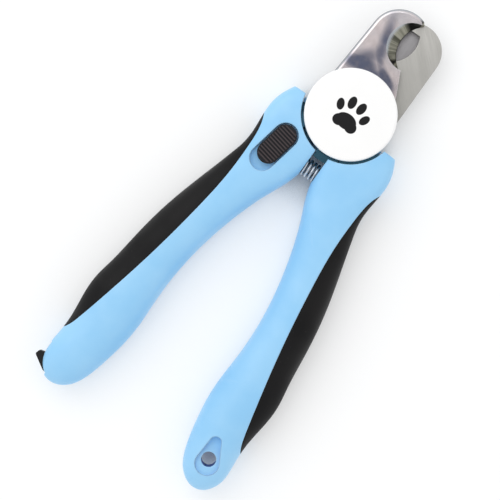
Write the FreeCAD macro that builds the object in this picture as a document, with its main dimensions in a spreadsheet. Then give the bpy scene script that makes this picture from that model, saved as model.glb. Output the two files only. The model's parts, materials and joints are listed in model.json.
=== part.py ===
"""Scissor nail clipper: two hooked blades on a pivot, spring-opened plastic handles,
a sliding lock, a swinging guard and a nail file kept in the left handle.

Millimetres.  The pivot is the Z axis, +Y points to the blades, the handles splay
to both sides of -Y, and the piece lies on Z = 0 with its cap up.
"""
import FreeCAD, Part
import math
import os
import re

import Sketcher

os.makedirs("parts", exist_ok=True)
doc = FreeCAD.newDocument("nail_clipper")
Vector = FreeCAD.Vector
Z_AXIS = Vector(0, 0, 1)

# ---------------------------------------------------------------- driving dimensions
DIMENSIONS = {
    # heights of the pivot stack above the resting surface
    "nut_bottom": 0.0,
    "thread_end": 0.5,
    "nut_top": 3.3,
    "guard_rear": 3.8,
    "guard_front": 4.9,
    "rear_blade_rear": 5.3,
    "rear_blade_front": 8.48,
    "front_blade_rear": 8.52,
    "front_blade_front": 11.7,
    "screw_head_bottom": 12.2,
    "screw_head_top": 14.2,
    "cap_bottom": 11.95,
    "cap_roof": 14.4,
    "cap_top": 16.6,
    # round pieces of the pivot
    "thread_radius": 2.5,
    "shoulder_radius": 3.5,
    "running_gap": 0.05,
    "screw_head_radius": 5.6,
    "nut_radius": 7.0,
    "nut_flat_half": 6.0,
    "washer_radius": 6.0,
    "cap_radius": 14.75,
    "cap_skirt": 1.4,
    "cap_collar": 6.4,
    "cap_edge": 0.7,
    "hub_radius": 14.2,
    "ear_radius": 17.3,
    # blades: circles of the notches, on the mating face and on the outer face
    "front_edge_x": 8.8,
    "front_edge_y": 29.2,
    "front_edge_radius": 9.6,
    "front_bevel_x": 3.3,
    "front_bevel_y": 28.6,
    "front_bevel_radius": 7.95,
    "rear_edge_x": -4.6,
    "rear_edge_y": 29.1,
    "rear_edge_radius": 9.0,
    "rear_bevel_x": 0.2,
    "rear_bevel_y": 28.4,
    "rear_bevel_radius": 8.1,
    "rear_notch_roof": 33.4,
    "front_crown_radius": 9.71,
    "rear_crown_radius": 9.05,
    "front_rounding": 1.1,
    # guard
    "guard_hub_radius": 8.5,
    "guard_tab_drop": 2.3,
    # handles
    "splay": 13.4,
    "middle": 8.5,
    "arc_radius": 15.7,
    "gap_half": 2.45,
    "right_head_line": -3.2,
    "left_head_line": -2.8,
    "tail_centre": 116.0,
    "tail_side": 8.2,
    "tail_half": 7.2,
    "right_tail_length": 12.0,
    "left_tail_length": 11.3,
    "rubber_side": 2.6,
    "rubber_face": 2.2,
    # return spring, along X between the handles
    "spring_y": -21.25,
    "spring_radius": 2.6,
    "spring_wire": 0.55,
    "spring_pitch": 1.6,
    "spring_length": 11.2,
    "spring_pocket_radius": 3.5,
    "spring_pocket_depth": 3.3,
    # lock
    "lock_angle": 79.1,
    "lock_travel": 2.7,
    "button_x": -13.42,
    "button_y": -21.05,
    "button_length": 14.7,
    "button_width": 7.2,
    "button_bottom": 14.0,
    "button_top": 16.1,
    "rib_radius": 0.36,
    "rib_pitch": 1.0,
    "recess_length": 18.3,
    "recess_shift": -1.3,
    "recess_width": 8.2,
    "recess_floor": 13.9,
    "latch_rear": 11.9,
    "latch_front": 13.1,
    "stud_x": -0.45,
    "stud_y": -13.0,
    "stud_radius": 0.5,
    # nail file
    "file_centre": 4.3,
    "file_start": 60.0,
    "file_end": 121.0,
    "file_half_width": 2.7,
    "file_half_thick": 0.6,
    "file_gap": 0.2,
    "tab_half_thick": 2.4,
    "tab_rounding": 0.7,
    # hanging hole
    "hang_reach": 117.5,
    "hang_radius": 2.4,
    "hang_recess_reach": 118.8,
    "hang_recess_radius": 3.9,
    "hang_point_reach": 111.6,
    "hang_point_radius": 1.9,
    "hang_floor": 5.2,
}

# Sections of a handle along its length: reach from the pivot, outer side, inner side,
# half thickness, squareness (2 is an ellipse, more is boxier)
STATIONS = {
    "crown": (3.0, 17.6, -3.0, 7.3, 4.6),
    "shoulder": (14.0, 19.6, -3.2, 7.3, 4.4),
    "throat": (22.0, 17.9, -3.3, 7.3, 3.8),
    "waist": (30.0, 15.8, -3.0, 7.5, 3.0),
    "first": (40.0, 15.9, -1.3, 7.9, 2.6),
    "second": (56.0, 16.65, -0.4, 8.3, 2.4),
    "third": (72.0, 16.2, -1.5, 8.5, 2.3),
    "fourth": (88.0, 14.6, -5.0, 8.4, 2.3),
    "heel": (103.0, 11.7, -8.0, 8.0, 2.2),
}

# The closing sections of a handle's tail, in degrees along its ellipsoid, and their squareness
TAIL_STEPS = (0, 30, 50, 66, 78)
TAIL_SQUARE = 2.2
SECTION_POINTS = 28
SEAM = 206.0

# Colour line between the rubber and the plastic of a handle: reach, distance outwards
COLOUR_LINE = ((18.7, 19.9), (22, 17.0), (30, 13.9), (40, 11.5), (56, 9.4), (76, 8.0), (96, 7.6),
               (106, 7.7), (111.8, 8.5), (115.0, 10.6))

# Corners of the flat outlines, seen from the cap side
POINTS = {
    "front_hip": (-12.4, 7.0),
    "front_side": (-11.1, 29.2),
    "front_tip_outer": (1.7, 37.7),
    "front_tip": (2.6, 36.7),
    "front_tip_inner": (1.9, 35.7),
    "front_mouth": (4.8, 20.5),
    "front_heel": (8.5, 13.0),
    "front_root": (9.0, 8.0),
    "rear_root": (-9.0, 8.0),
    "rear_heel": (-5.5, 13.0),
    "rear_mouth": (-0.6, 20.5),
    "rear_hook_inner": (-2.4, 33.0),
    "rear_hook": (-3.2, 33.3),
    "rear_side": (13.45, 28.4),
    "rear_hip": (13.5, 4.4),
    "ear_left": (-2.2, -12.0),
    "ear_left_low": (-2.2, -17.1),
    "ear_right_low": (5.5, -16.4),
    "ear_right": (5.5, -10.0),
    "tang_inner": (5.5, -13.0),
    "tang_inner_end": (11.5, -42.0),
    "tang_end": (20.0, -44.0),
    "tang_outer": (19.2, -16.0),
    "tang_shoulder": (17.3, -5.0),
    "tang_root": (10.0, -5.0),
    "guard_left_root": (-6.5, 4.0),
    "guard_left": (-6.0, 31.6),
    "guard_right": (7.5, 31.6),
    "guard_right_root": (6.5, 4.0),
    "guard_tab_low": (-8.6, 19.0),
    "guard_tab_high": (-8.6, 26.0),
    # the file's thumb tab, in the left handle's own frame
    "tab_root": (-1.6, -118.4),
    "tab_side": (-6.2, -118.4),
    "tab_neck": (-6.2, -121.9),
    "tab_ear": (-8.1, -122.9),
    "tab_corner": (-8.2, -124.6),
    "tab_slant": (-2.8, -126.3),
    "tab_end": (-1.6, -126.3),
}

sheet = doc.addObject("Spreadsheet::Sheet", "dims")


def fill_sheet():
    entries = dict(DIMENSIONS)
    for name, (reach, outer, inner, half, square) in STATIONS.items():
        entries[name + "_reach"] = reach
        entries[name + "_outer"] = outer
        entries[name + "_inner"] = inner
        entries[name + "_half"] = half
        entries[name + "_square"] = square
    for name, (x, y) in POINTS.items():
        entries[name + "_x"] = x
        entries[name + "_y"] = y
    for row, (name, number) in enumerate(entries.items(), start=1):
        sheet.set("A%d" % row, name)
        sheet.set("B%d" % row, "%g" % number)
        sheet.setAlias("B%d" % row, name)
    doc.recompute()


fill_sheet()


def size(name):
    """The number in a cell of the sheet."""
    return float(getattr(sheet, name))


def cells(text):
    """An expression in cell names, as the document reads it."""
    return re.sub(r"[a-z]\w+", r"dims.\g<0>", text)


def bind(thing, sizes):
    for field, text in sizes.items():
        thing.setExpression(field, cells(text))


# ---------------------------------------------------------------- solids and booleans
def cylinder(name, radius, bottom, top, x="", y=""):
    """An upright round solid between two heights."""
    solid = doc.addObject("Part::Cylinder", name)
    bind(solid, {"Radius": radius, "Height": "%s - (%s)" % (top, bottom), "Placement.Base.z": bottom})
    if x:
        bind(solid, {"Placement.Base.x": x, "Placement.Base.y": y})
    return solid


def block(name, corner, opposite, turn=0.0, at=(0.0, 0.0)):
    """A box between two corners, turned about the vertical, then moved."""
    solid = doc.addObject("Part::Box", name)
    low = [min(a, b) for a, b in zip(corner, opposite)]
    high = [max(a, b) for a, b in zip(corner, opposite)]
    solid.Length, solid.Width, solid.Height = [b - a for a, b in zip(low, high)]
    rotation = FreeCAD.Rotation(Z_AXIS, turn)
    solid.Placement = FreeCAD.Placement(rotation.multVec(Vector(*low)) + Vector(at[0], at[1], 0), rotation)
    return solid


def fuse(name, *solids):
    joined = doc.addObject("Part::MultiFuse", name)
    joined.Shapes = list(solids)
    joined.Refine = False
    return joined


def common(name, *solids):
    shared = doc.addObject("Part::MultiCommon", name)
    shared.Shapes = list(solids)
    return shared


def cut(name, base, *tools):
    """The base less each tool in turn."""
    for count, tool in enumerate(tools):
        last = count == len(tools) - 1
        result = doc.addObject("Part::Cut", name if last else "%s_cut_%d" % (name, count))
        result.Base, result.Tool = base, tool
        base = result
    return base


def mirror(name, source):
    copy = doc.addObject("Part::Mirroring", name)
    copy.Source = source
    copy.Normal = Vector(1, 0, 0)
    return copy


def computed(name, shape):
    solid = doc.addObject("Part::Feature", name)
    solid.Shape = shape
    return solid


# ---------------------------------------------------------------- sketches and pads
def arc_middle(start, end, radius, side):
    """The middle of the shorter arc that bulges to the left (side 1) or right (side -1)."""
    chord = end - start
    left = Vector(-chord.y, chord.x, 0).normalize()
    sagitta = radius - math.sqrt(radius ** 2 - (chord.Length / 2) ** 2)
    return (start + end) * 0.5 + left * side * sagitta


def outline(body, name, corners, arcs, bottom):
    """A closed sketch through named corners; arcs maps a side's number to its radius cell and bulge."""
    sketch = body.newObject("Sketcher::SketchObject", name)
    plane = [entry for entry in body.Origin.OriginFeatures if entry.Role == "XY_Plane"][0]
    sketch.AttachmentSupport = (plane, "")
    sketch.MapMode = "FlatFace"
    bind(sketch, {"AttachmentOffset.Base.z": bottom})
    spots = [Vector(size(corner + "_x"), size(corner + "_y"), 0) for corner in corners]
    for number, start in enumerate(spots):
        end = spots[(number + 1) % len(spots)]
        if number in arcs:
            radius, bulge = arcs[number]
            sketch.addGeometry(Part.Arc(start, arc_middle(start, end, size(radius), bulge), end), False)
        else:
            sketch.addGeometry(Part.LineSegment(start, end), False)
    ends = [arc_ends(sketch, number, start) for number, start in enumerate(spots)]
    for number in range(len(spots)):
        following = (number + 1) % len(spots)
        sketch.addConstraint(Sketcher.Constraint("Coincident", number, ends[number][1],
                                                 following, ends[following][0]))
    for number, corner in enumerate(corners):
        for axis in "xy":
            cell = corner + "_" + axis
            index = sketch.addConstraint(Sketcher.Constraint("Distance" + axis.upper(), number,
                                                             ends[number][0], size(cell)))
            bind(sketch, {"Constraints[%d]" % index: cell})
    for number, (radius, bulge) in arcs.items():
        index = sketch.addConstraint(Sketcher.Constraint("Radius", number, size(radius)))
        bind(sketch, {"Constraints[%d]" % index: radius})
    return sketch


def arc_ends(sketch, number, start):
    """Which end of a side is its first: an arc always runs anticlockwise."""
    if (sketch.getPoint(number, 1) - start).Length < 1e-4:
        return 1, 2
    return 2, 1


def pad(body, sketch, name, bottom, top):
    feature = body.newObject("PartDesign::Pad", name)
    feature.Profile = sketch
    bind(feature, {"Length": "(%s) - (%s)" % (top, bottom)})
    doc.recompute()
    return feature


def flat_body(name, corners, arcs, bottom, top):
    body = doc.addObject("PartDesign::Body", name)
    sketch = outline(body, name + "_outline", corners, arcs, bottom)
    pad(body, sketch, name + "_pad", bottom, top)
    return body


def soften(body, name, radius, wanted):
    """Round the edges of a body's tip that pass the test."""
    base = body.Tip
    chosen = ["Edge%d" % (count + 1) for count, edge in enumerate(base.Shape.Edges) if wanted(edge)]
    feature = body.newObject("PartDesign::Fillet", name)
    feature.Base = (base, chosen)
    bind(feature, {"Radius": radius})
    doc.recompute()
    return feature


def circle(name, radius, x, y, height):
    ring = doc.addObject("Part::Circle", name)
    bind(ring, {"Radius": radius, "Placement.Base.x": x, "Placement.Base.y": y,
                "Placement.Base.z": height})
    return ring


def notch(name, first, second):
    """The skewed cone between two circles that makes a bevelled cutting edge."""
    cone = doc.addObject("Part::Loft", name)
    cone.Sections = [first, second]
    cone.Solid = True
    cone.Ruled = True
    return cone


# ---------------------------------------------------------------- blades
def at_height(edge, height):
    return all(abs(vertex.Z - height) < 1e-4 for vertex in edge.Vertexes)


def tang(side):
    """Flat tail of a blade, drawn for the right handle."""
    bottom, top = blade_heights(side)
    return flat_body(side + "_tang", ["tang_inner", "tang_inner_end", "tang_end", "tang_outer",
                                      "tang_shoulder", "tang_root"], {}, bottom, top)


def blade_heights(side):
    return side + "_blade_rear", side + "_blade_front"


def front_blade():
    bottom, top = blade_heights("front")
    arm = flat_body("front_arm", ["front_hip", "front_side", "front_tip_outer", "front_tip",
                                  "front_tip_inner", "front_mouth", "front_heel", "front_root"],
                    {1: ("front_crown_radius", 1)}, bottom, top)
    soften(arm, "front_arm_rounding", "front_rounding",
           lambda edge: at_height(edge, size(top)) and
           (edge.CenterOfMass.x < -10 or edge.CenterOfMass.y > 36.9))
    ear = flat_body("front_ear", ["ear_left", "ear_left_low", "ear_right_low", "ear_right"],
                    {1: ("ear_radius", -1)}, bottom, top)
    hub = cylinder("front_hub", "hub_radius", bottom, top)
    tail = tang("front")
    joined = fuse("front_joined", hub, arm, ear, tail)
    bevel = notch("front_notch",
                  circle("front_edge", "front_edge_radius", "front_edge_x", "front_edge_y", bottom),
                  circle("front_bevel", "front_bevel_radius", "front_bevel_x", "front_bevel_y", top))
    bore = cylinder("front_bore", "shoulder_radius + running_gap", bottom, top)
    stud_hole = cylinder("stud_hole", "stud_radius", bottom, top, "stud_x", "stud_y")
    return cut("front_blade", joined, bevel, bore, stud_hole), (tail, ear)


def rear_blade():
    bottom, top = blade_heights("rear")
    arm = flat_body("rear_arm", ["rear_root", "rear_heel", "rear_mouth", "rear_hook_inner", "rear_hook",
                                 "rear_side", "rear_hip"],
                    {4: ("rear_crown_radius", 1)}, bottom, top)
    hub = cylinder("rear_hub", "hub_radius", bottom, top)
    tail = tang("rear")
    joined = fuse("rear_joined", hub, arm, mirror("rear_tang_left", tail))
    cone = notch("rear_cone",
                 circle("rear_edge", "rear_edge_radius", "rear_edge_x", "rear_edge_y", top),
                 circle("rear_bevel", "rear_bevel_radius", "rear_bevel_x", "rear_bevel_y", bottom))
    below_roof = block("rear_below_roof", (-30, 0, 0), (30, size("rear_notch_roof"), 20))
    bore = cylinder("rear_bore", "shoulder_radius + running_gap", bottom, top)
    return cut("rear_blade", joined, common("rear_notch", cone, below_roof), bore), tail


# ---------------------------------------------------------------- pivot
def ring(name, outer, inner, bottom, top):
    return cut(name, cylinder(name + "_disc", outer, bottom, top),
               cylinder(name + "_hole", inner, bottom, top))


def pivot_screw():
    head = cylinder("screw_head", "screw_head_radius", "screw_head_bottom", "screw_head_top")
    shoulder = cylinder("screw_shoulder", "shoulder_radius", "nut_top", "screw_head_bottom")
    thread = cylinder("screw_thread", "thread_radius", "thread_end", "nut_top")
    slot = block("screw_slot", (-6, -0.7, size("screw_head_top") - 0.9), (6, 0.7, 20))
    return cut("pivot_screw", fuse("screw_solid", head, shoulder, thread), slot)


def pivot_nut():
    disc = cylinder("nut_disc", "nut_radius", "nut_bottom", "nut_top")
    rim = doc.addObject("Part::Chamfer", "nut_chamfer")
    rim.Base = disc
    doc.recompute()
    lower = [count + 1 for count, edge in enumerate(disc.Shape.Edges)
             if at_height(edge, 0) and edge.Curve.TypeId == "Part::GeomCircle"]
    rim.Edges = [(number, 0.6, 0.6) for number in lower]
    hole = cylinder("nut_hole", "thread_radius", "thread_end", "nut_top")
    flats = block("nut_flats", (-8, -size("nut_flat_half"), -1), (8, size("nut_flat_half"), 5))
    return cut("pivot_nut", common("nut_solid", rim, flats), hole)


def pivot_cap():
    disc = cylinder("cap_disc", "cap_radius", "cap_bottom", "cap_top")
    rim = doc.addObject("Part::Fillet", "cap_rim")
    rim.Base = disc
    doc.recompute()
    upper = [count + 1 for count, edge in enumerate(disc.Shape.Edges)
             if at_height(edge, size("cap_top")) and edge.Curve.TypeId == "Part::GeomCircle"]
    rim.Edges = [(number, size("cap_edge"), size("cap_edge")) for number in upper]
    hollow = cylinder("cap_hollow", "cap_radius - cap_skirt", "cap_bottom", "cap_roof")
    collar = ring("cap_collar_ring", "cap_collar", "screw_head_radius", "screw_head_bottom + 0.3",
                  "cap_roof")
    shell = cut("cap_shell", rim, hollow)
    # the skirt is open towards the left handle, where the latch plate comes in
    opening = block("cap_latch_opening", (-16, -16, 0), (5.6, -4.2, size("latch_front") + 0.3))
    return cut("pivot_cap", fuse("cap_solid", shell, collar), opening)


# ---------------------------------------------------------------- guard
def guard_plate():
    hub = cylinder("guard_hub", "guard_hub_radius", "guard_rear", "guard_front")
    arm = flat_body("guard_arm", ["guard_left_root", "guard_left", "guard_right", "guard_right_root"],
                    {1: ("rear_crown_radius", 1)}, "guard_rear", "guard_front")
    rear, front = size("guard_rear"), size("guard_front")
    low, high = size("guard_tab_low_y"), size("guard_tab_high_y")
    edge = size("guard_tab_low_x")
    thumb = block("guard_thumb", (edge, low, rear), (-5.5, high, front))
    lip = block("guard_lip", (edge - 1.1, low, rear - size("guard_tab_drop")), (edge, high, front))
    bore = cylinder("guard_bore", "shoulder_radius + running_gap", "guard_rear", "guard_front")
    return cut("guard_plate", fuse("guard_solid", hub, arm, thumb, lip), bore)


# ---------------------------------------------------------------- handles
def section(reach, outer, inner, half, square):
    """Closed superellipse across a handle, in the handle's own frame (x outwards, -y to the tail)."""
    centre, side = (outer + inner) / 2, (outer - inner) / 2
    spots = []
    for step in range(SECTION_POINTS):
        angle = math.radians(SEAM + 360 * step / SECTION_POINTS)
        across, up = math.cos(angle), math.sin(angle)
        spots.append(Vector(centre + side * math.copysign(abs(across) ** (2 / square), across), -reach,
                            size("middle") + half * math.copysign(abs(up) ** (2 / square), up)))
    curve = Part.BSplineCurve()
    curve.interpolate(Points=spots, PeriodicFlag=True)
    return Part.Wire([curve.toShape()])


def handle_form(tail_length, side_inset=0.0, face_inset=0.0):
    """Smooth solid through the sections, closed by an ellipsoid tail; the insets shrink it."""
    wires = []
    for name in STATIONS:
        wires.append(section(size(name + "_reach"), size(name + "_outer") - side_inset,
                             size(name + "_inner") + side_inset, size(name + "_half") - face_inset,
                             size(name + "_square")))
    tail = size("tail_centre")
    length = tail_length - side_inset
    side = size("tail_side") - side_inset
    half = size("tail_half") - face_inset
    for degrees in TAIL_STEPS:
        turn = math.radians(degrees)
        wires.append(section(tail + length * math.sin(turn), side * math.cos(turn),
                             -side * math.cos(turn), half * math.cos(turn), TAIL_SQUARE))
    wires.append(Part.Vertex(Vector(0, -tail - length, size("middle"))))
    return Part.makeLoft(wires, True, False)


def turned(solid):
    """Turn a solid from the handle's own frame to its splayed place on the right."""
    solid.Placement = FreeCAD.Placement(Vector(), FreeCAD.Rotation(Z_AXIS, size("splay")))
    bind(solid, {"Placement.Rotation.Angle": "splay"})
    return solid


def rubber_side():
    """Prism over everything on the rubber's side of the colour line."""
    curve = Part.BSplineCurve()
    curve.interpolate(Points=[Vector(across, -reach, 0) for reach, across in COLOUR_LINE])
    start, end = curve.StartPoint, curve.EndPoint
    far = 30.0
    edges = [curve.toShape(), Part.makeLine(end, Vector(far, end.y, 0)),
             Part.makeLine(Vector(far, end.y, 0), Vector(far, start.y, 0)),
             Part.makeLine(Vector(far, start.y, 0), start)]
    return Part.Face(Part.Wire(edges)).extrude(Vector(0, 0, 25))


def trimmed(name, form, head_line):
    """A right handle's form, cut off at the pivot, the gap and the head line."""
    arc = cylinder(name + "_arc", "arc_radius", "nut_bottom - 10", "cap_top + 10")
    above = block(name + "_above", (-10, head_line, -5), (40, 40, 25))
    across = block(name + "_across", (-30, -60, -5), (size("gap_half"), 10, 25))
    return cut(name, form, arc, above, across)


def handle_blanks(side, tail_length):
    """Core and rubber grip of one handle, both drawn on the right, before its own cut-outs."""
    form = handle_form(tail_length)
    spine = handle_form(tail_length, size("rubber_side"), size("rubber_face"))
    rubber = form.cut(spine).common(rubber_side())
    grip = turned(computed(side + "_grip_blank", rubber))
    core = turned(computed(side + "_core_blank", form.cut(rubber)))
    return trimmed(side + "_trimmed", core, size(side + "_head_line")), grip


def spring_pocket(name, side):
    hole = doc.addObject("Part::Cylinder", name)
    bind(hole, {"Radius": "spring_pocket_radius", "Height": "spring_pocket_depth + 1"})
    hole.Placement = FreeCAD.Placement(
        Vector(side * (size("gap_half") - 1), size("spring_y"), size("middle")),
        FreeCAD.Rotation(Z_AXIS, Vector(side, 0, 0)))
    return hole


def hang_recess(name, bottom, top):
    """Teardrop round the hanging hole: two circles and the straight flanks that touch both."""
    big, small = size("hang_recess_radius"), size("hang_point_radius")
    reach, point = size("hang_recess_reach"), size("hang_point_reach")
    lean = math.asin((big - small) / (reach - point))
    flank = [Vector(side * radius * math.cos(lean), -place + radius * math.sin(lean), 0)
             for side, radius, place in ((1, big, reach), (1, small, point), (-1, small, point),
                                         (-1, big, reach))]
    edges = [Part.makeLine(flank[0], flank[1]),
             Part.Arc(flank[1], Vector(0, -point + small, 0), flank[2]).toShape(),
             Part.makeLine(flank[2], flank[3]),
             Part.Arc(flank[3], Vector(0, -reach - big, 0), flank[0]).toShape()]
    face = Part.Face(Part.Wire(edges))
    face.translate(Vector(0, 0, bottom))
    return turned(computed(name, face.extrude(Vector(0, 0, top - bottom))))


def hang_hole():
    turn = math.radians(size("splay"))
    reach = size("hang_reach")
    hole = doc.addObject("Part::Cylinder", "hang_hole")
    bind(hole, {"Radius": "hang_radius"})
    hole.Height = 40
    hole.Placement.Base = Vector(reach * math.sin(turn), -reach * math.cos(turn), -5)
    return hole


def right_handle(tail, ear):
    core, grip = handle_blanks("right", size("right_tail_length"))
    middle, floor = size("middle"), size("hang_floor")
    core = cut("right_handle_core", core, tail, ear, spring_pocket("right_spring_pocket", 1),
               hang_recess("hang_recess_front", middle + floor, 30),
               hang_recess("hang_recess_rear", -10, middle - floor), hang_hole())
    return core, grip


def lock_place(along, across=0.0):
    """A point of the lock, along its slide towards the head and across it to the left."""
    turn = math.radians(size("lock_angle"))
    return (size("button_x") + along * math.cos(turn) - across * math.sin(turn),
            size("button_y") + along * math.sin(turn) + across * math.cos(turn))


def obround(name, length, width, bottom, top, shift=0.0):
    """Long hole or slide, round at both ends, lying along the lock's travel."""
    half, radius = (length - width) / 2, width / 2
    middle = block(name + "_middle", (-half, -radius, bottom), (half, radius, top), size("lock_angle"),
                   lock_place(shift))
    solids = [middle]
    for end in (-1, 1):
        x, y = lock_place(shift + end * half)
        dome = doc.addObject("Part::Cylinder", "%s_end_%d" % (name, end + 1))
        dome.Radius, dome.Height = radius, top - bottom
        dome.Placement.Base = Vector(x, y, bottom)
        solids.append(dome)
    return fuse(name, *solids)


# the latch plate: a stem under the button, an arm under the cap and a finger to the tail
STEM_HALF = 1.8
ARM_LOW, ARM_HIGH = -8.8, -6.8
ARM_LEFT = -12.0
FINGER_LEFT, FINGER_RIGHT = -1.75, -1.05
FINGER_LOW = -12.1
LEAF = 0.3


def stem(name, back, forward, half, bottom, top):
    return block(name, (back, -half, bottom), (forward, half, top), size("lock_angle"), lock_place(0))


def left_handle(tail):
    core, grip = handle_blanks("left", size("left_tail_length"))
    core = mirror("left_core_mirrored", cut("left_core_moulded", core, tail))
    gap, travel = 0.3, size("lock_travel")
    low, high = size("latch_rear") - 0.1, size("latch_front") + 0.1
    recess = obround("button_recess", size("recess_length"), size("recess_width"), size("recess_floor"),
                     30, size("recess_shift"))
    slot = stem("button_slot", -2.3 - travel, 2.3, 1.5, high - 0.2, size("recess_floor") + 0.1)
    stem_channel = stem("stem_channel", -3.0 - gap - travel, 14, STEM_HALF + gap, low, high)
    leaf_channel = block("leaf_channel", (-6.0, STEM_HALF, low), (3.0, STEM_HALF + 2 * LEAF + gap, high),
                         size("lock_angle"), lock_place(0))
    arm_channel = block("arm_channel", (ARM_LEFT - gap - 0.7, ARM_LOW - travel - gap, low),
                        (0, -4, high))
    ear_room = common("ear_room",
                      cylinder("ear_room_disc", "ear_radius + 0.4", "front_blade_rear - 0.2",
                               "front_blade_front + 0.2"),
                      block("ear_room_side", (-8, -20, 5), (0, -12, 15)))
    file_room = file_space("file_room", size("file_gap"))
    leaf_room = file_leaf("file_leaf_room")
    core = cut("left_handle_core", core, spring_pocket("left_spring_pocket", -1), recess, slot,
               stem_channel, leaf_channel, arm_channel, ear_room, file_room, tab_room(), leaf_room)
    return core, mirror("left_handle_grip", grip)


def left_block(name, across, reach, heights):
    """A box in the left handle's own frame: distances outwards, towards the tail and up."""
    return block(name, (-across[0], -reach[0], heights[0]), (-across[1], -reach[1], heights[1]),
                 -size("splay"))


# ---------------------------------------------------------------- spring
def return_spring():
    helix = doc.addObject("Part::Helix", "spring_line")
    bind(helix, {"Pitch": "spring_pitch", "Height": "spring_length - 2 * spring_wire",
                 "Radius": "spring_radius"})
    wire = doc.addObject("Part::Circle", "spring_section")
    bind(wire, {"Radius": "spring_wire"})
    wire.Placement = FreeCAD.Placement(Vector(size("spring_radius"), 0, 0),
                                       FreeCAD.Rotation(Vector(1, 0, 0), 90))
    coil = doc.addObject("Part::Sweep", "spring_coil")
    coil.Sections = [wire]
    coil.Spine = (helix, [])
    coil.Solid = True
    coil.Frenet = True
    doc.recompute()
    spring = computed("return_spring", coil.Shape)
    half = size("spring_length") / 2 - size("spring_wire")
    spring.Placement = FreeCAD.Placement(Vector(-half, size("spring_y"), size("middle")),
                                         FreeCAD.Rotation(Z_AXIS, Vector(1, 0, 0)))
    return spring


# ---------------------------------------------------------------- lock
def lock_button():
    bottom, top = size("button_bottom"), size("button_top")
    length, width = size("button_length"), size("button_width")
    slide = obround("button_slide", length, width, bottom, top)
    bars = []
    pitch = size("rib_pitch")
    ribs = int((length - 1.2) / pitch)
    for count in range(ribs):
        along = (count - (ribs - 1) / 2) * pitch
        bar = doc.addObject("Part::Cylinder", "rib_%d" % count)
        bind(bar, {"Radius": "rib_radius", "Height": "button_width"})
        foot = lock_place(along, width / 2)
        bar.Placement = FreeCAD.Placement(
            Vector(foot[0], foot[1], top),
            FreeCAD.Rotation(Z_AXIS, size("lock_angle")).multiply(FreeCAD.Rotation(Vector(1, 0, 0), 90)))
        bars.append(bar)
    envelope = obround("rib_envelope", length - 0.8, width - 0.8, bottom, top + 2)
    ribbing = common("ribbing", fuse("rib_bars", *bars), envelope)
    neck = stem("button_neck", -2.0, 2.0, 1.2, size("latch_front"), bottom + 0.1)
    return fuse("lock_button", slide, ribbing, neck)


def lock_latch():
    low, high = size("latch_rear"), size("latch_front")
    plate = stem("latch_stem", -3.0, 13.0, STEM_HALF, low, high)
    arm = block("latch_arm", (ARM_LEFT, ARM_LOW, low), (FINGER_RIGHT, ARM_HIGH, high))
    finger = block("latch_finger", (FINGER_LEFT, FINGER_LOW, low), (FINGER_RIGHT, ARM_HIGH, high))
    return fuse("lock_latch", plate, arm, finger)


def lock_click_spring():
    return block("click_leaf", (-6.0, STEM_HALF + LEAF, size("latch_rear")),
                 (3.0, STEM_HALF + 2 * LEAF + 0.3, size("latch_front")), size("lock_angle"),
                 lock_place(0))


# ---------------------------------------------------------------- nail file
def file_space(name, gap):
    centre, half = size("file_centre"), size("file_half_width") + gap
    thick = size("file_half_thick") + gap
    middle = size("middle")
    return left_block(name, (centre - half, centre + half),
                      (size("file_start") - gap, size("file_end") + gap),
                      (middle - thick, middle + thick))


def tab_room():
    """Notch at the outer corner of the left tail that the thumb tab closes."""
    middle, thick = size("middle"), size("tab_half_thick") + size("file_gap")
    return left_block("tab_room", (1.6 - size("file_gap"), 9.5), (118.2, 128.5),
                      (middle - thick, middle + thick))


def tab_blank():
    slab = flat_body("tab_slab", ["tab_root", "tab_side", "tab_neck", "tab_ear", "tab_corner",
                                  "tab_slant", "tab_end"], {}, "middle - tab_half_thick",
                     "middle + tab_half_thick")
    soften(slab, "tab_rounding", "tab_rounding",
           lambda edge: abs(edge.tangentAt(edge.FirstParameter).z) > 0.9 and
           edge.CenterOfMass.x < -6.5)
    slab.Placement = FreeCAD.Placement(Vector(), FreeCAD.Rotation(Z_AXIS, -size("splay")))
    return slab


def nail_file_blade():
    return file_space("nail_file_blade", 0.0)


def nail_file_tab(blade):
    return cut("nail_file_tab", tab_blank(), blade)


def file_leaf(name):
    middle = size("middle")
    top = middle - size("file_half_thick") - size("file_gap")
    return left_block(name, (2.5, 6.0), (100, 112), (top - LEAF, top))


# ---------------------------------------------------------------- assembly
def build():
    front, front_tails = front_blade()
    rear, rear_tail = rear_blade()
    right_core, right_grip = right_handle(*front_tails)
    left_core, left_grip = left_handle(rear_tail)
    file_blade = nail_file_blade()
    return {
        "front_blade": front,
        "rear_blade": rear,
        "right_handle_core": right_core,
        "left_handle_core": left_core,
        "right_handle_grip": right_grip,
        "left_handle_grip": left_grip,
        "pivot_screw": pivot_screw(),
        "pivot_nut": pivot_nut(),
        "front_washer": ring("front_washer", "washer_radius", "shoulder_radius", "front_blade_front",
                             "screw_head_bottom"),
        "wave_washer": ring("wave_washer", "washer_radius", "shoulder_radius", "guard_front",
                            "rear_blade_rear"),
        "rear_washer": ring("rear_washer", "washer_radius", "shoulder_radius", "nut_top", "guard_rear"),
        "pivot_cap": pivot_cap(),
        "guard_plate": guard_plate(),
        "return_spring": return_spring(),
        "lock_button": lock_button(),
        "lock_latch": lock_latch(),
        "lock_stud": cylinder("lock_stud", "stud_radius", "front_blade_rear", "latch_front", "stud_x",
                              "stud_y"),
        "lock_click_spring": lock_click_spring(),
        "nail_file_blade": file_blade,
        "nail_file_tab": nail_file_tab(file_blade),
        "file_click_spring": file_leaf("file_click_spring"),
    }


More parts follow.
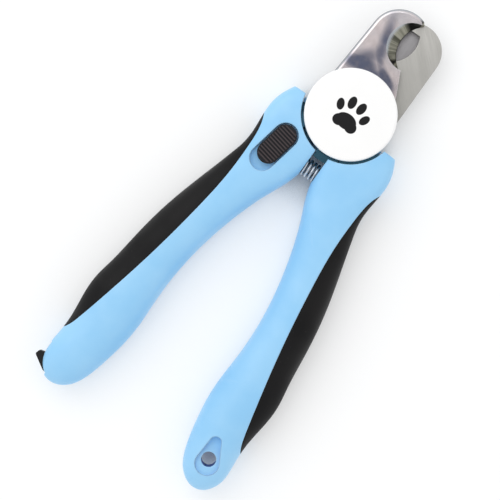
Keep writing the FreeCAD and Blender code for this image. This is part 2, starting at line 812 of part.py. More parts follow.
def check_and_write(nodes):
    doc.recompute()
    for thing in doc.Objects:
        if "Invalid" in thing.State or "Error" in thing.State:
            raise RuntimeError("%s failed: %s" % (thing.Name, thing.State))
    for name, solid in nodes.items():
        solid.Label = name
        shape = solid.Shape
        if shape.isNull() or not shape.isValid() or not shape.Solids:
            raise RuntimeError("%s has no valid solid" % name)
        shape.exportStep("parts/%s.step" % name)
        print("%-20s %d solid(s) %9.2f mm3" % (name, len(shape.Solids), shape.Volume))


check_and_write(build())
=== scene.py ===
import json
import math

import bpy
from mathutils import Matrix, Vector


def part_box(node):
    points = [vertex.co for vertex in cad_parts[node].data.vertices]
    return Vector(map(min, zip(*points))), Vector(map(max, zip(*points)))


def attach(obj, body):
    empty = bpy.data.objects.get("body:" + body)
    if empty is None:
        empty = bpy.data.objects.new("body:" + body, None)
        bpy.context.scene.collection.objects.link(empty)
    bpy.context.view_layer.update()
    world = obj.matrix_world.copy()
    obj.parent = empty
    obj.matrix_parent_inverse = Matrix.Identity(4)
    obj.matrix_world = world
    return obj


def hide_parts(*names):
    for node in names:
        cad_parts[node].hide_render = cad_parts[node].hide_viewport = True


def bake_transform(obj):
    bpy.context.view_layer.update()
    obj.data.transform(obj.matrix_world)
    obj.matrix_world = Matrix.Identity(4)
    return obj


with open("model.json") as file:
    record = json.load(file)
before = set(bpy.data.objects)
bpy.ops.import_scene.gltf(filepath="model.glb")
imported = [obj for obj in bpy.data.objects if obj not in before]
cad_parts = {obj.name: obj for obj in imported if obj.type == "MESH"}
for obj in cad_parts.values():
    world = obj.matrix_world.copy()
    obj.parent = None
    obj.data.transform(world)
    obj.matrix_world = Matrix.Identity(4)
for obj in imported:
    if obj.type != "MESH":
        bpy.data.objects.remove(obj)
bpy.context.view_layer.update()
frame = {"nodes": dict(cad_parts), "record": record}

MM = 0.001
NODES = frame["nodes"]
SLOT_OF = {part["node"]: part["material_slot"] for part in frame["record"]["subparts"]}


def srgb(red, green, blue):
    def linear(level):
        level /= 255
        return level / 12.92 if level <= 0.04045 else ((level + 0.055) / 1.055) ** 2.4
    return linear(red), linear(green), linear(blue), 1.0


# ---------------------------------------------------------------- shader building blocks
def node(tree, kind, settings=None, **sockets):
    """Add a shader node. A socket named here takes a number, a colour or another node's output."""
    made = tree.nodes.new("ShaderNode" + kind)
    for field, choice in (settings or {}).items():
        setattr(made, field, choice)
    for label, source in sockets.items():
        feed(tree, made.inputs[label.replace("_", " ")], source)
    return made


def feed(tree, socket, source):
    if isinstance(source, bpy.types.NodeSocket):
        tree.links.new(source, socket)
    else:
        socket.default_value = source


def maths(tree, operation, first, second=0.0, clamp=False):
    made = tree.nodes.new("ShaderNodeMath")
    made.operation = operation
    made.use_clamp = clamp
    feed(tree, made.inputs[0], first)
    feed(tree, made.inputs[1], second)
    return made.outputs[0]


def stretch(tree, value, low, high, to_low=0.0, to_high=1.0):
    """Carry a value smoothly from one range to another."""
    made = node(tree, "MapRange", {"interpolation_type": "SMOOTHSTEP"}, Value=value, From_Min=low,
                From_Max=high, To_Min=to_low, To_Max=to_high)
    return made.outputs["Result"]


def tint(tree, share, first, second):
    """Two colours mixed by a mask."""
    made = tree.nodes.new("ShaderNodeMix")
    made.data_type = "RGBA"
    feed(tree, made.inputs[0], share)
    feed(tree, made.inputs[6], first)
    feed(tree, made.inputs[7], second)
    return made.outputs[2]


def place_of(tree):
    return tree.nodes.new("ShaderNodeTexCoord").outputs["Object"]


def turned(tree, where, centre=(0, 0, 0), turn=0.0, spread=(1, 1, 1)):
    """Coordinates centred on a spot, turned about the vertical and divided by a spread, in metres."""
    made = node(tree, "Mapping", {"vector_type": "TEXTURE"}, Vector=where, Location=centre,
                Rotation=(0, 0, math.radians(turn)), Scale=spread)
    return made.outputs[0]


def component(tree, where, axis):
    """The X, Y or Z of a vector."""
    return node(tree, "SeparateXYZ", None, Vector=where).outputs[axis]


def flattened(tree, where):
    """Coordinates with their height dropped."""
    joined = node(tree, "CombineXYZ", None, X=component(tree, where, "X"), Y=component(tree, where, "Y"))
    return joined.outputs[0]


def length_of(tree, where):
    made = node(tree, "VectorMath", {"operation": "LENGTH"})
    tree.links.new(where, made.inputs[0])
    return made.outputs["Value"]


def distance_from(tree, spot):
    """How far a place is, as seen from above, from a spot in metres."""
    made = node(tree, "VectorMath", {"operation": "DISTANCE"})
    tree.links.new(flattened(tree, place_of(tree)), made.inputs[0])
    made.inputs[1].default_value = (*spot, 0)
    return made.outputs["Value"]


def facing_up(tree):
    """How far a face's normal points up: one on a level top, nought on an upright side."""
    normal = tree.nodes.new("ShaderNodeNewGeometry").outputs["Normal"]
    return component(tree, normal, "Z")


def levelness(tree):
    """One on a level face, top or bottom, nought on an upright one."""
    return maths(tree, "ABSOLUTE", facing_up(tree))


def tilted(tree):
    """A mask of the faces that lean away from level."""
    return stretch(tree, levelness(tree), 0.9, 0.97, 1.0, 0.0)


def noise(tree, where, scale, detail=2.0, roughness=0.5):
    made = node(tree, "TexNoise", None, Vector=where, Scale=scale, Detail=detail, Roughness=roughness)
    return made.outputs["Fac"]


def new_group(name, inputs, outputs):
    group = bpy.data.node_groups.new(name, "ShaderNodeTree")
    for label, start in inputs.items():
        socket = group.interface.new_socket(label, in_out="INPUT", socket_type="NodeSocketFloat")
        socket.default_value = start
    for label, kind in outputs.items():
        group.interface.new_socket(label, in_out="OUTPUT", socket_type="NodeSocket" + kind)
    return group, group.nodes.new("NodeGroupInput"), group.nodes.new("NodeGroupOutput")


def make_soft_edge():
    """Rounds the shading of an edge by a radius and says where that edge is."""
    group, given, result = new_group("soft_edge", {"Radius": 0.0004, "Reach": 0.12},
                                     {"Edge": "Float", "Normal": "Vector"})
    bevel = node(group, "Bevel", {"samples": 6}, Radius=given.outputs["Radius"])
    sharp = group.nodes.new("ShaderNodeNewGeometry")
    dot = group.nodes.new("ShaderNodeVectorMath")
    dot.operation = "DOT_PRODUCT"
    group.links.new(bevel.outputs["Normal"], dot.inputs[0])
    group.links.new(sharp.outputs["Normal"], dot.inputs[1])
    bend = maths(group, "SUBTRACT", 1.0, dot.outputs["Value"])
    edge = node(group, "MapRange", None, Value=bend, From_Min=0.004, From_Max=given.outputs["Reach"])
    group.links.new(edge.outputs["Result"], result.inputs["Edge"])
    group.links.new(bevel.outputs["Normal"], result.inputs["Normal"])
    return group


def make_moulded_grain():
    """The fine texture of a moulded surface: a height, and slow patches in its sheen."""
    group, given, result = new_group("moulded_grain", {"Scale": 3000.0, "Patch Scale": 60.0},
                                     {"Height": "Float", "Patch": "Float"})
    where = place_of(group)
    fine = noise(group, where, given.outputs["Scale"], 3.0, 0.6)
    patch = noise(group, where, given.outputs["Patch Scale"], 3.0, 0.55)
    group.links.new(fine, result.inputs["Height"])
    group.links.new(stretch(group, patch, 0.3, 0.7), result.inputs["Patch"])
    return group


def make_brushing():
    """Long fine lines left by a belt: turned by an angle about the vertical."""
    group, given, result = new_group("brushing", {"Turn": 0.0, "Scale": 2500.0},
                                     {"Height": "Float", "Streak": "Float"})
    turn = group.nodes.new("ShaderNodeCombineXYZ")
    group.links.new(given.outputs["Turn"], turn.inputs["Z"])
    lay = node(group, "Mapping", {"vector_type": "TEXTURE"}, Vector=place_of(group),
               Rotation=turn.outputs[0], Scale=(14, 1, 1))
    lines = noise(group, lay.outputs[0], given.outputs["Scale"], 3.0, 0.6)
    broad = noise(group, lay.outputs[0], maths(group, "MULTIPLY", given.outputs["Scale"], 0.16), 2.0)
    group.links.new(lines, result.inputs["Height"])
    group.links.new(stretch(group, broad, 0.3, 0.7), result.inputs["Streak"])
    return group


def make_scuffs():
    """A few fine scratches that cross at two angles."""
    group, given, result = new_group("scuffs", {"Scale": 160.0, "Amount": 0.3}, {"Scuff": "Float"})
    where = place_of(group)
    masks = []
    for turn in (28, -47):
        lay = turned(group, where, turn=turn, spread=(9, 1, 3))
        line = noise(group, lay, given.outputs["Scale"], 4.0, 0.75)
        masks.append(stretch(group, line, 0.66, 0.74))
    both = maths(group, "MAXIMUM", masks[0], masks[1])
    thin = maths(group, "MULTIPLY", both, given.outputs["Amount"], True)
    group.links.new(thin, result.inputs["Scuff"])
    return group


def make_dust():
    """Specks of lint and dust that settle where a surface faces up."""
    group, given, result = new_group("dust", {"Scale": 900.0, "Amount": 0.5}, {"Dust": "Float"})
    specks = noise(group, place_of(group), given.outputs["Scale"], 2.0, 0.5)
    up = stretch(group, facing_up(group), 0.2, 0.9)
    mask = maths(group, "MULTIPLY", stretch(group, specks, 0.68, 0.76), up)
    group.links.new(maths(group, "MULTIPLY", mask, given.outputs["Amount"], True), result.inputs["Dust"])
    return group


SOFT_EDGE = make_soft_edge()
MOULDED_GRAIN = make_moulded_grain()
BRUSHING = make_brushing()
SCUFFS = make_scuffs()
DUST = make_dust()


def effect(tree, group, **numbers):
    made = tree.nodes.new("ShaderNodeGroup")
    made.node_tree = group
    for label, number in numbers.items():
        made.inputs[label.replace("_", " ")].default_value = number
    return made.outputs


def bump(tree, height, depth, normal):
    """Relief of a depth in metres, on top of another normal."""
    made = node(tree, "Bump", None, Height=height, Distance=depth, Normal=normal)
    return made.outputs["Normal"]


def new_finish(name, **uniform):
    """A material with one Principled shader; the uniform values go straight on its sockets."""
    material = bpy.data.materials.new(name)
    material.use_nodes = True
    tree = material.node_tree
    tree.nodes.clear()
    output = tree.nodes.new("ShaderNodeOutputMaterial")
    shader = node(tree, "BsdfPrincipled", None, **uniform)
    tree.links.new(shader.outputs["BSDF"], output.inputs["Surface"])
    return material, tree, shader.inputs


# ---------------------------------------------------------------- finishes
# the shade round the pivot: its colour, and the radii in millimetres over which it starts and ends
HUB_SHADE = (0.045, 0.12, 0.17, 1)
SHADE_STARTS = (12.6, 13.4)
SHADE_ENDS = (17.6, 18.0)
# the two nail notches: centre and radius in millimetres, and the width of the painted shadow line along
# the rear notch's ground edge
FRONT_NOTCH = ((6.4, 28.9), 9.6)
REAR_NOTCH = ((-4.6, 29.1), 9.1)
NOTCH_SHADOW_WIDTH = 0.25


def moulded(name, light, deep, worn_and_highlight, rough, grain, edge, depth, dust, gloss_level=0.5,
             highlight_crest=None, painted_recess_shade=None):
    """Moulded plastic or rubber: slow patches, grain, scuffs and dust, and edges painted lighter as a
    painted highlight.  Rib tops above a given height are painted lighter, a painted highlight.  A painted
    recess shade is a centre, a radius and a colour: walls within it are painted deeper, a painted shade."""
    material, tree, shader = new_finish(name, IOR=1.48, Specular_IOR_Level=gloss_level)
    soft = effect(tree, SOFT_EDGE, Radius=edge)
    skin = effect(tree, MOULDED_GRAIN, Scale=grain)
    scuff = effect(tree, SCUFFS, Amount=0.35)["Scuff"]
    specks = effect(tree, DUST, Amount=dust)["Dust"]
    colour = tint(tree, skin["Patch"], light, deep)
    # painted highlight: every edge is mixed towards the lighter colour
    colour = tint(tree, maths(tree, "MULTIPLY", soft["Edge"], 0.35), colour, worn_and_highlight)
    colour = tint(tree, maths(tree, "MAXIMUM", maths(tree, "MULTIPLY", scuff, 0.25), specks), colour, worn_and_highlight)
    # painted highlight: rib tops above the given height are painted lighter
    if highlight_crest:
        top = stretch(tree, component(tree, place_of(tree), "Z"), highlight_crest - 0.14 * MM, highlight_crest - 0.02 * MM)
        colour = tint(tree, maths(tree, "MULTIPLY", top, 0.8), colour, worn_and_highlight)
    # painted shade: upright walls inside the given radius are painted a deeper colour
    if painted_recess_shade:
        centre, radius, shade = painted_recess_shade
        wall = stretch(tree, levelness(tree), 0.3, 0.7, 1.0, 0.0)
        inside = stretch(tree, distance_from(tree, centre), radius * 0.9, radius, 1.0, 0.0)
        colour = tint(tree, maths(tree, "MULTIPLY", wall, inside), colour, shade)
    feed(tree, shader["Base Color"], colour)
    gloss = stretch(tree, skin["Patch"], 0, 1, rough - 0.05, rough + 0.06)
    feed(tree, shader["Roughness"], maths(tree, "ADD", gloss, maths(tree, "MULTIPLY", scuff, 0.15)))
    feed(tree, shader["Normal"], bump(tree, skin["Height"], depth, soft["Normal"]))
    return material


def under_cap(tree, where):
    """A mask of the steel round the pivot that lies in the shade of the cap and the handles."""
    reach = length_of(tree, flattened(tree, where))
    rim = stretch(tree, reach, SHADE_STARTS[0] * MM, SHADE_STARTS[1] * MM)
    end = stretch(tree, reach, SHADE_ENDS[0] * MM, SHADE_ENDS[1] * MM, 1.0, 0.0)
    rim = maths(tree, "MULTIPLY", rim, end)
    towards_tip = component(tree, where, "Y")
    return maths(tree, "MULTIPLY", rim, stretch(tree, towards_tip, 2 * MM, 7 * MM, 1.0, 0.0))


def brushed(name, light, deep, turn, rough, depth=0.000006, edge=0.00015, sides=None, fade=None,
            notch=None):
    """Belt-brushed steel: lines along one direction, edges painted bright as a painted highlight, and a
    few scuffs.  The upright sides of a sheared plate may have a darker colour of their own, the colour
    may grow darker towards the deep colour nearer the pivot, between two distances along Y, and a notch,
    given by its centre and radius, gets a painted shadow: a darkened line along its ground edge."""
    material, tree, shader = new_finish(name, Metallic=1.0)
    soft = effect(tree, SOFT_EDGE, Radius=edge)
    lines = effect(tree, BRUSHING, Turn=math.radians(turn))
    scuff = effect(tree, SCUFFS, Amount=0.4)["Scuff"]
    patch = effect(tree, MOULDED_GRAIN)["Patch"]
    colour = tint(tree, maths(tree, "MULTIPLY", lines["Streak"], 0.6), light, deep)
    colour = tint(tree, stretch(tree, lines["Height"], 0.5, 0.75, 0.0, 0.5), colour, deep)
    colour = tint(tree, maths(tree, "MULTIPLY", patch, 0.35), colour, deep)
    # darker nearer the pivot: between two distances along Y the colour moves towards the deep colour
    if fade:
        along = component(tree, place_of(tree), "Y")
        colour = tint(tree, stretch(tree, along, fade[0] * MM, fade[1] * MM, 0.7, 0.0), colour, deep)
    # painted highlight: the edges are painted a bright grey
    colour = tint(tree, maths(tree, "MULTIPLY", soft["Edge"], 0.5), colour, (0.85, 0.85, 0.84, 1))
    colour = tint(tree, under_cap(tree, place_of(tree)), colour, HUB_SHADE)
    # painted shadow: a dark line along the ground edge of the notch
    if notch:
        centre, radius = notch
        apart = distance_from(tree, (centre[0] * MM, centre[1] * MM))
        inside = stretch(tree, apart, radius * MM, (radius + NOTCH_SHADOW_WIDTH) * MM, 1.0, 0.0)
        ground = maths(tree, "MULTIPLY", inside, maths(tree, "MAXIMUM", soft["Edge"], tilted(tree)))
        colour = tint(tree, ground, colour, (0.07, 0.07, 0.065, 1))
    if sides:
        colour = tint(tree, stretch(tree, levelness(tree), 0.1, 0.6, 1.0, 0.0), colour, sides)
    feed(tree, shader["Base Color"], colour)
    gloss = stretch(tree, lines["Height"], 0.3, 0.7, rough - 0.06, rough + 0.08)
    feed(tree, shader["Roughness"], maths(tree, "ADD", gloss, maths(tree, "MULTIPLY", scuff, 0.12)))
    feed(tree, shader["Normal"], bump(tree, lines["Height"], depth, soft["Normal"]))
    return material


def patch_mask(tree, where, centre, turn, half_length, half_width):
    """A soft oval patch."""
    local = turned(tree, where, (centre[0] * MM, centre[1] * MM, 0), turn,
                   (half_length * MM, half_width * MM, 1))
    made = node(tree, "TexGradient", {"gradient_type": "SPHERICAL"}, Vector=local)
    return made.outputs["Fac"]


def ground_bevel(tree, where, centre, radius):
    """The ground band of a notch, the grinding streaks on it and its ends, which are darkened as painted
    shade.
    """
    local = turned(tree, where, (centre[0] * MM, centre[1] * MM, 0), 0, (radius * MM, radius * MM, 1))
    inside = stretch(tree, length_of(tree, local), 1.0, 1.12, 1.0, 0.0)
    band = maths(tree, "MULTIPLY", inside, tilted(tree))
    across, along = component(tree, local, "X"), component(tree, local, "Y")
    angle = maths(tree, "ARCTAN2", along, maths(tree, "MULTIPLY", across, -1.0))
    line = tree.nodes.new("ShaderNodeTexNoise")
    line.noise_dimensions = "1D"
    feed(tree, line.inputs["W"], angle)
    feed(tree, line.inputs["Scale"], 4.5)
    feed(tree, line.inputs["Detail"], 4.0)
    feed(tree, line.inputs["Roughness"], 0.6)
    ends = maths(tree, "MAXIMUM", stretch(tree, angle, 0.42, 0.62), stretch(tree, angle, -0.8, -0.95))
    tip = stretch(tree, across, -0.51, -0.46, 1.0, 0.0)
    ends = maths(tree, "MULTIPLY", ends, tip)
    return band, line.outputs["Fac"], ends


# painted reflections on the front blade, as dark cloudy patches: centre, turn, half length and half width
# in millimetres
PAINTED_REFLECTIONS = (((-6.6, 17.0), 46, 10.5, 4.8), ((-4.6, 27.4), 112, 11.0, 2.6), ((-1.8, 14.6), 4, 13.5, 3.6),
          ((3.0, 16.0), -38, 7.0, 2.2))
DRIFT = 2.0


def polished_blade():
    """Mirror-polished steel with dark cloudy patches as painted reflections, and a ground cutting bevel.
    """
    material, tree, shader = new_finish("mirror_steel", Metallic=1.0)
    soft = effect(tree, SOFT_EDGE, Radius=0.0003, Reach=0.1)
    scuff = effect(tree, SCUFFS, Amount=0.6)["Scuff"]
    lines = effect(tree, BRUSHING, Turn=math.radians(62), Scale=1800.0)
    where = place_of(tree)
    wander = node(tree, "TexNoise", None, Vector=where, Scale=75.0, Detail=1.0)
    shifted = node(tree, "VectorMath", {"operation": "MULTIPLY_ADD"})
    tree.links.new(wander.outputs["Color"], shifted.inputs[0])
    shifted.inputs[1].default_value = (2 * DRIFT * MM, 2 * DRIFT * MM, 0)
    tree.links.new(where, shifted.inputs[2])
    drift = flattened(tree, shifted.outputs[0])
    # painted reflections: dark cloudy patches that stand for reflections in the mirror polish
    painted_reflections = 0.0
    for centre, turn, half_length, half_width in PAINTED_REFLECTIONS:
        spot = (centre[0] + DRIFT, centre[1] + DRIFT)
        oval = patch_mask(tree, drift, spot, turn, half_length, half_width)
        painted_reflections = maths(tree, "ADD", painted_reflections, oval)
    dark = stretch(tree, painted_reflections, 0.0, 1.0)
    speckle = noise(tree, where, 420.0, 4.0, 0.65)
    dark = maths(tree, "MULTIPLY", dark, stretch(tree, speckle, 0.2, 0.65, 0.8, 1.0))
    rose = tint(tree, stretch(tree, noise(tree, where, 90.0, 2.0), 0.4, 0.6), (0.64, 0.61, 0.63, 1),
                (0.71, 0.635, 0.635, 1))
    colour = tint(tree, dark, rose, (0.125, 0.14, 0.205, 1))
    band, streak, ends = ground_bevel(tree, where, *FRONT_NOTCH)
    # painted reflection: the ground band is painted dark; its real grinding streaks are painted lighter as
    # painted highlights
    ground = tint(tree, stretch(tree, streak, 0.35, 0.65), (0.09, 0.09, 0.07, 1), (0.36, 0.355, 0.29, 1))
    # painted shade: the ends of the band are painted near black
    ground = tint(tree, ends, ground, (0.012, 0.012, 0.012, 1))
    # painted shade: faces that lean away from level, round the rim, are painted a darker blue-grey
    painted_rim_shade = stretch(tree, levelness(tree), 0.7, 0.96, 0.85, 0.0)
    colour = tint(tree, painted_rim_shade, colour, (0.42, 0.46, 0.49, 1))
    # painted highlight: the edges are painted a bright grey
    colour = tint(tree, maths(tree, "MULTIPLY", soft["Edge"], 0.6), colour, (0.8, 0.82, 0.84, 1))
    side = stretch(tree, levelness(tree), 0.3, 0.7, 1.0, 0.0)
    colour = tint(tree, side, colour, (0.13, 0.14, 0.15, 1))
    colour = tint(tree, band, colour, ground)
    colour = tint(tree, under_cap(tree, where), colour, HUB_SHADE)
    feed(tree, shader["Base Color"], colour)
    gloss = stretch(tree, speckle, 0.2, 0.8, 0.14, 0.24)
    gloss = maths(tree, "ADD", gloss, maths(tree, "MULTIPLY", band, 0.12))
    feed(tree, shader["Roughness"], maths(tree, "ADD", gloss, maths(tree, "MULTIPLY", scuff, 0.08)))
    feed(tree, shader["Normal"], bump(tree, lines["Height"], 0.000003, soft["Normal"]))
    return material


# the ovals of the printed paw, pad first: centre, turn, half width and half height in millimetres
PAW = (((0.0, -2.6), 0, 3.5, 2.5), ((-2.2, -3.4), 20, 2.1, 1.9), ((2.2, -3.4), -20, 2.1, 1.9),
       ((-4.6, 0.9), 24, 1.25, 1.9), ((-1.75, 3.3), 7, 1.35, 2.1), ((1.75, 3.3), -7, 1.35, 2.1),
       ((4.6, 0.9), -24, 1.25, 1.9))


def cap_finish():
    """Glossy white plastic with a plain paw printed in black on its face."""
    material, tree, shader = new_finish("gloss_white", IOR=1.45, Specular_IOR_Level=0.3)
    soft = effect(tree, SOFT_EDGE, Radius=0.0004)
    skin = effect(tree, MOULDED_GRAIN, Scale=900.0)
    where = place_of(tree)
    level = flattened(tree, where)
    print_mask = 0.0
    for centre, turn, half_width, half_height in PAW:
        local = turned(tree, level, (centre[0] * MM, centre[1] * MM, 0), turn,
                       (half_width * MM, half_height * MM, 1))
        oval = stretch(tree, length_of(tree, local), 0.97, 1.03, 1.0, 0.0)
        print_mask = maths(tree, "MAXIMUM", print_mask, oval)
    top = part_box("pivot_cap")[1].z - 0.05 * MM
    face = maths(tree, "GREATER_THAN", component(tree, where, "Z"), top)
    print_mask = maths(tree, "MULTIPLY", print_mask, face)
    white = tint(tree, skin["Patch"], (0.99, 0.99, 0.985, 1), (0.965, 0.965, 0.96, 1))
    feed(tree, shader["Base Color"], tint(tree, print_mask, white, (0.004, 0.004, 0.005, 1)))
    gloss = stretch(tree, skin["Patch"], 0, 1, 0.14, 0.22)
    feed(tree, shader["Roughness"], maths(tree, "ADD", gloss, maths(tree, "MULTIPLY", print_mask, 0.18)))
    feed(tree, shader["Normal"], bump(tree, skin["Height"], 0.000004, soft["Normal"]))
    return material


def file_finish():
    """Steel cut with two crossing rows of file teeth."""
    material, tree, shader = new_finish("cross_cut_steel", Metallic=1.0)
    soft = effect(tree, SOFT_EDGE, Radius=0.0001)
    where = place_of(tree)
    rows = []
    for turn in (35, -45):
        lay = turned(tree, where, turn=turn)
        wave = node(tree, "TexWave", {"bands_direction": "X", "wave_profile": "SAW"}, Vector=lay,
                    Scale=900.0, Distortion=0.4, Detail=1.0)
        rows.append(wave.outputs["Fac"])
    teeth = maths(tree, "MULTIPLY", rows[0], rows[1])
    feed(tree, shader["Base Color"], tint(tree, teeth, (0.32, 0.32, 0.31, 1), (0.66, 0.66, 0.65, 1)))
    feed(tree, shader["Roughness"], stretch(tree, teeth, 0, 1, 0.45, 0.28))
    feed(tree, shader["Normal"], bump(tree, teeth, 0.00008, soft["Normal"]))
    return material


HANG_HOLE = [mount for mount in frame["record"]["mounts"] if mount["name"] == "hang_hole"][0]
BLUE = moulded("satin_blue", srgb(158, 212, 249), srgb(146, 205, 246), srgb(196, 228, 250), 0.40, 2600.0,
               0.0006, 0.000008, 0.0, painted_recess_shade=(HANG_HOLE["pos_m"][:2], 5.4 * MM, srgb(52, 122, 208)))
RUBBER = moulded("soft_black", srgb(17, 16, 17), srgb(10, 10, 12), srgb(46, 46, 46), 0.58, 2000.0,
                 0.0004, 0.00002, 0.25, 0.22)
RIBBED = moulded("ribbed_black", srgb(26, 28, 34), srgb(18, 20, 26), srgb(76, 67, 68), 0.50, 2200.0,
                 0.0002, 0.000015, 0.1, 0.3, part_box("lock_button")[1].z)
TAB = moulded("tab_black", srgb(24, 24, 25), srgb(16, 16, 18), srgb(70, 70, 70), 0.45, 2200.0, 0.0003,
              0.000012, 0.15, 0.3)
FINISHES = {
    "handle_blue": BLUE,
    "grip_black": RUBBER,
    "steel_polished": polished_blade(),
    "steel_brushed": brushed("belt_steel", (0.60, 0.59, 0.56, 1), (0.41, 0.405, 0.38, 1), -42, 0.36,
                             sides=(0.3, 0.3, 0.29, 1), fade=(12, 36), notch=REAR_NOTCH),
    "cap_white": cap_finish(),
    "button_black": RIBBED,
    "tab_black": TAB,
    "guard_steel": brushed("guard_steel", (0.39, 0.38, 0.39, 1), (0.31, 0.305, 0.31, 1), 90, 0.34),
    "screw_steel": brushed("turned_steel", (0.6, 0.6, 0.6, 1), (0.42, 0.42, 0.42, 1), 0, 0.26),
    "washer_steel": brushed("washer_steel", (0.55, 0.55, 0.54, 1), (0.38, 0.38, 0.38, 1), 20, 0.3),
    "spring_steel": brushed("spring_wire", (0.72, 0.74, 0.76, 1), (0.48, 0.5, 0.53, 1), 90, 0.2, 0.000003,
                            0.0001),
    "latch_steel": brushed("latch_steel", (0.42, 0.45, 0.5, 1), (0.3, 0.33, 0.38, 1), 79, 0.32),
    "file_steel": file_finish(),
}

for name, piece in NODES.items():
    piece.data.materials.clear()
    piece.data.materials.append(FINISHES[SLOT_OF[name]])


# ---------------------------------------------------------------- pieces made here
def deselect():
    if bpy.context.object and bpy.context.object.mode != "OBJECT":
        bpy.ops.object.mode_set(mode="OBJECT")
    bpy.ops.object.select_all(action="DESELECT")


def settle(piece, name, slot):
    """Name a finished piece, put its place into its mesh and give it its finish."""
    piece.name = name
    piece.data.name = name
    deselect()
    piece.select_set(True)
    bpy.context.view_layer.objects.active = piece
    bpy.ops.object.transform_apply(location=True, rotation=True, scale=True)
    piece.data.materials.clear()
    piece.data.materials.append(FINISHES[slot])


def apply_modifier(piece, kind, **settings):
    modifier = piece.modifiers.new(kind.lower(), kind)
    for field, value in settings.items():
        setattr(modifier, field, value)
    bpy.context.view_layer.objects.active = piece
    bpy.ops.object.modifier_apply(modifier=modifier.name)


SPRING_WIRE = 0.5 * MM
SPRING_TURNS = 7.7
LINER_INNER = 11.5 * MM
LINER_OUTER = 15.4 * MM
LINER_DEPTH = 1.3 * MM
LINER_GAP = 0.2 * MM


def wind_spring():
    """The return spring: a round wire wound along X between the two handles."""
    low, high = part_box("return_spring")
    wire = SPRING_WIRE
    coil = (high.y - low.y) / 2 - wire
    length = high.x - low.x - 2 * wire
    deselect()
    bpy.ops.mesh.primitive_circle_add(vertices=12, radius=wire, location=(0, 0, 0))
    spring = bpy.context.object
    bpy.ops.object.mode_set(mode="EDIT")
    bpy.ops.mesh.select_all(action="SELECT")
    bpy.ops.transform.translate(value=(0, coil, 0))
    bpy.ops.object.mode_set(mode="OBJECT")
    apply_modifier(spring, "SCREW", axis="X", angle=2 * math.pi * SPRING_TURNS, screw_offset=length,
                   steps=180, render_steps=180, use_merge_vertices=False)
    bpy.ops.object.mode_set(mode="EDIT")
    bpy.ops.mesh.select_all(action="SELECT")
    bpy.ops.mesh.remove_doubles(threshold=0.000001)
    bpy.ops.mesh.fill_holes(sides=0)
    bpy.ops.mesh.normals_make_consistent(inside=False)
    bpy.ops.object.mode_set(mode="OBJECT")
    middle_y, middle_z = (low.y + high.y) / 2, (low.z + high.z) / 2
    spring.location = (low.x + wire, middle_y, middle_z)
    bpy.ops.object.shade_smooth_by_angle(angle=math.radians(50))
    settle(spring, "return_spring_wound", "spring_steel")
    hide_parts("return_spring")
    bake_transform(spring)


def line_hub():
    """The blue liner behind the blades, a half ring that closes the gap round the pivot."""
    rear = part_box("rear_blade")[0].z
    head_line = min(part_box(core)[1].y for core in ("right_handle_core", "left_handle_core"))
    bottom = rear - LINER_GAP - LINER_DEPTH
    deselect()
    bpy.ops.mesh.primitive_circle_add(vertices=96, radius=LINER_INNER, location=(0, 0, bottom))
    liner = bpy.context.object
    bpy.ops.object.mode_set(mode="EDIT")
    bpy.ops.mesh.select_all(action="SELECT")
    bpy.ops.mesh.extrude_region_move()
    widen = LINER_OUTER / LINER_INNER
    bpy.ops.transform.resize(value=(widen, widen, 1), center_override=(0, 0, 0))
    bpy.ops.mesh.select_all(action="SELECT")
    bpy.ops.mesh.bisect(plane_co=(0, head_line, 0), plane_no=(0, 1, 0), clear_outer=True)
    bpy.ops.mesh.select_all(action="SELECT")
    bpy.ops.mesh.extrude_region_move(TRANSFORM_OT_translate={"value": (0, 0, LINER_DEPTH)})
    bpy.ops.mesh.select_all(action="SELECT")
    bpy.ops.mesh.normals_make_consistent(inside=False)
    bpy.ops.object.mode_set(mode="OBJECT")
    apply_modifier(liner, "BEVEL", width=0.2 * MM, segments=2, limit_method="ANGLE")
    bpy.ops.object.shade_smooth_by_angle(angle=math.radians(35))
    settle(liner, "hub_liner", "handle_blue")
    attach(liner, "right_side")


wind_spring()
line_hub()


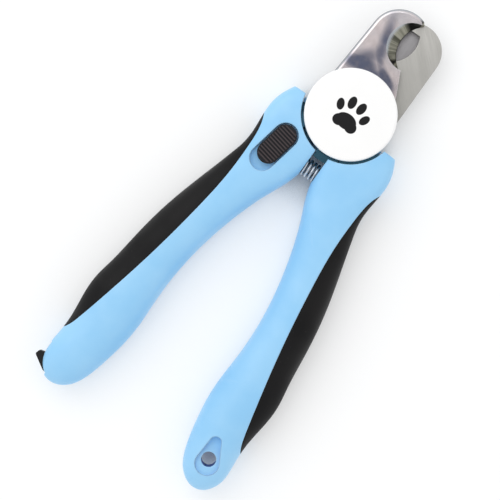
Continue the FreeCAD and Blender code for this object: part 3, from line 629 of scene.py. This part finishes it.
# ---------------------------------------------------------------- floor, light and camera
EYE = (-0.8 * MM, -53.1 * MM, 858.5 * MM)
EYE_TURN = 35.8
LENS = 192.8


def camera():
    lens = bpy.data.cameras.new("camera")
    eye = bpy.data.objects.new("camera", lens)
    bpy.context.collection.objects.link(eye)
    eye.location = EYE
    eye.rotation_euler = (0, 0, math.radians(EYE_TURN))
    lens.sensor_width = 36
    lens.lens = LENS
    lens.clip_start = 0.01
    bpy.context.scene.camera = eye


def lamp(name, place, aim, size, power):
    glow = bpy.data.lights.new(name, "AREA")
    glow.size = size
    glow.energy = power
    holder = bpy.data.objects.new(name, glow)
    bpy.context.collection.objects.link(holder)
    holder.location = place
    holder.rotation_euler = (Vector(aim) - Vector(place)).to_track_quat("-Z", "Y").to_euler()


def tent():
    """A pale light tent, brightest at the sides and darker straight above."""
    world = bpy.data.worlds.new("tent")
    bpy.context.scene.world = world
    world.use_nodes = True
    tree = world.node_tree
    around = tree.nodes.new("ShaderNodeTexCoord").outputs["Generated"]
    above = stretch(tree, component(tree, around, "Z"), 0.62, 0.98)
    feed(tree, tree.nodes["Background"].inputs["Color"],
         tint(tree, above, (1.0, 1.0, 1.0, 1), (0.66, 0.655, 0.66, 1)))
    tree.nodes["Background"].inputs["Strength"].default_value = 0.92


def floor():
    bpy.ops.mesh.primitive_plane_add(size=4)
    sheet = bpy.context.object
    sheet.name = "floor"
    material, tree, shader = new_finish("white_paper", IOR=1.3, Emission_Color=(1, 1, 1, 1))
    fibre = noise(tree, place_of(tree), 900.0, 3.0)
    feed(tree, shader["Base Color"], tint(tree, fibre, (0.62, 0.63, 0.635, 1), (0.64, 0.645, 0.65, 1)))
    shader["Roughness"].default_value = 0.85
    hidden = node(tree, "AmbientOcclusion", {"samples": 8}, Distance=0.012)
    feed(tree, shader["Emission Strength"], stretch(tree, hidden.outputs["AO"], 0.2, 0.6, 0.0, 0.4))
    sheet.data.materials.append(material)


deselect()
camera()
tent()
lamp("window", (-0.38, 0.10, 0.62), (0, -0.04, 0), 0.7, 1.75)
floor()
bpy.context.scene.view_settings.view_transform = "Standard"
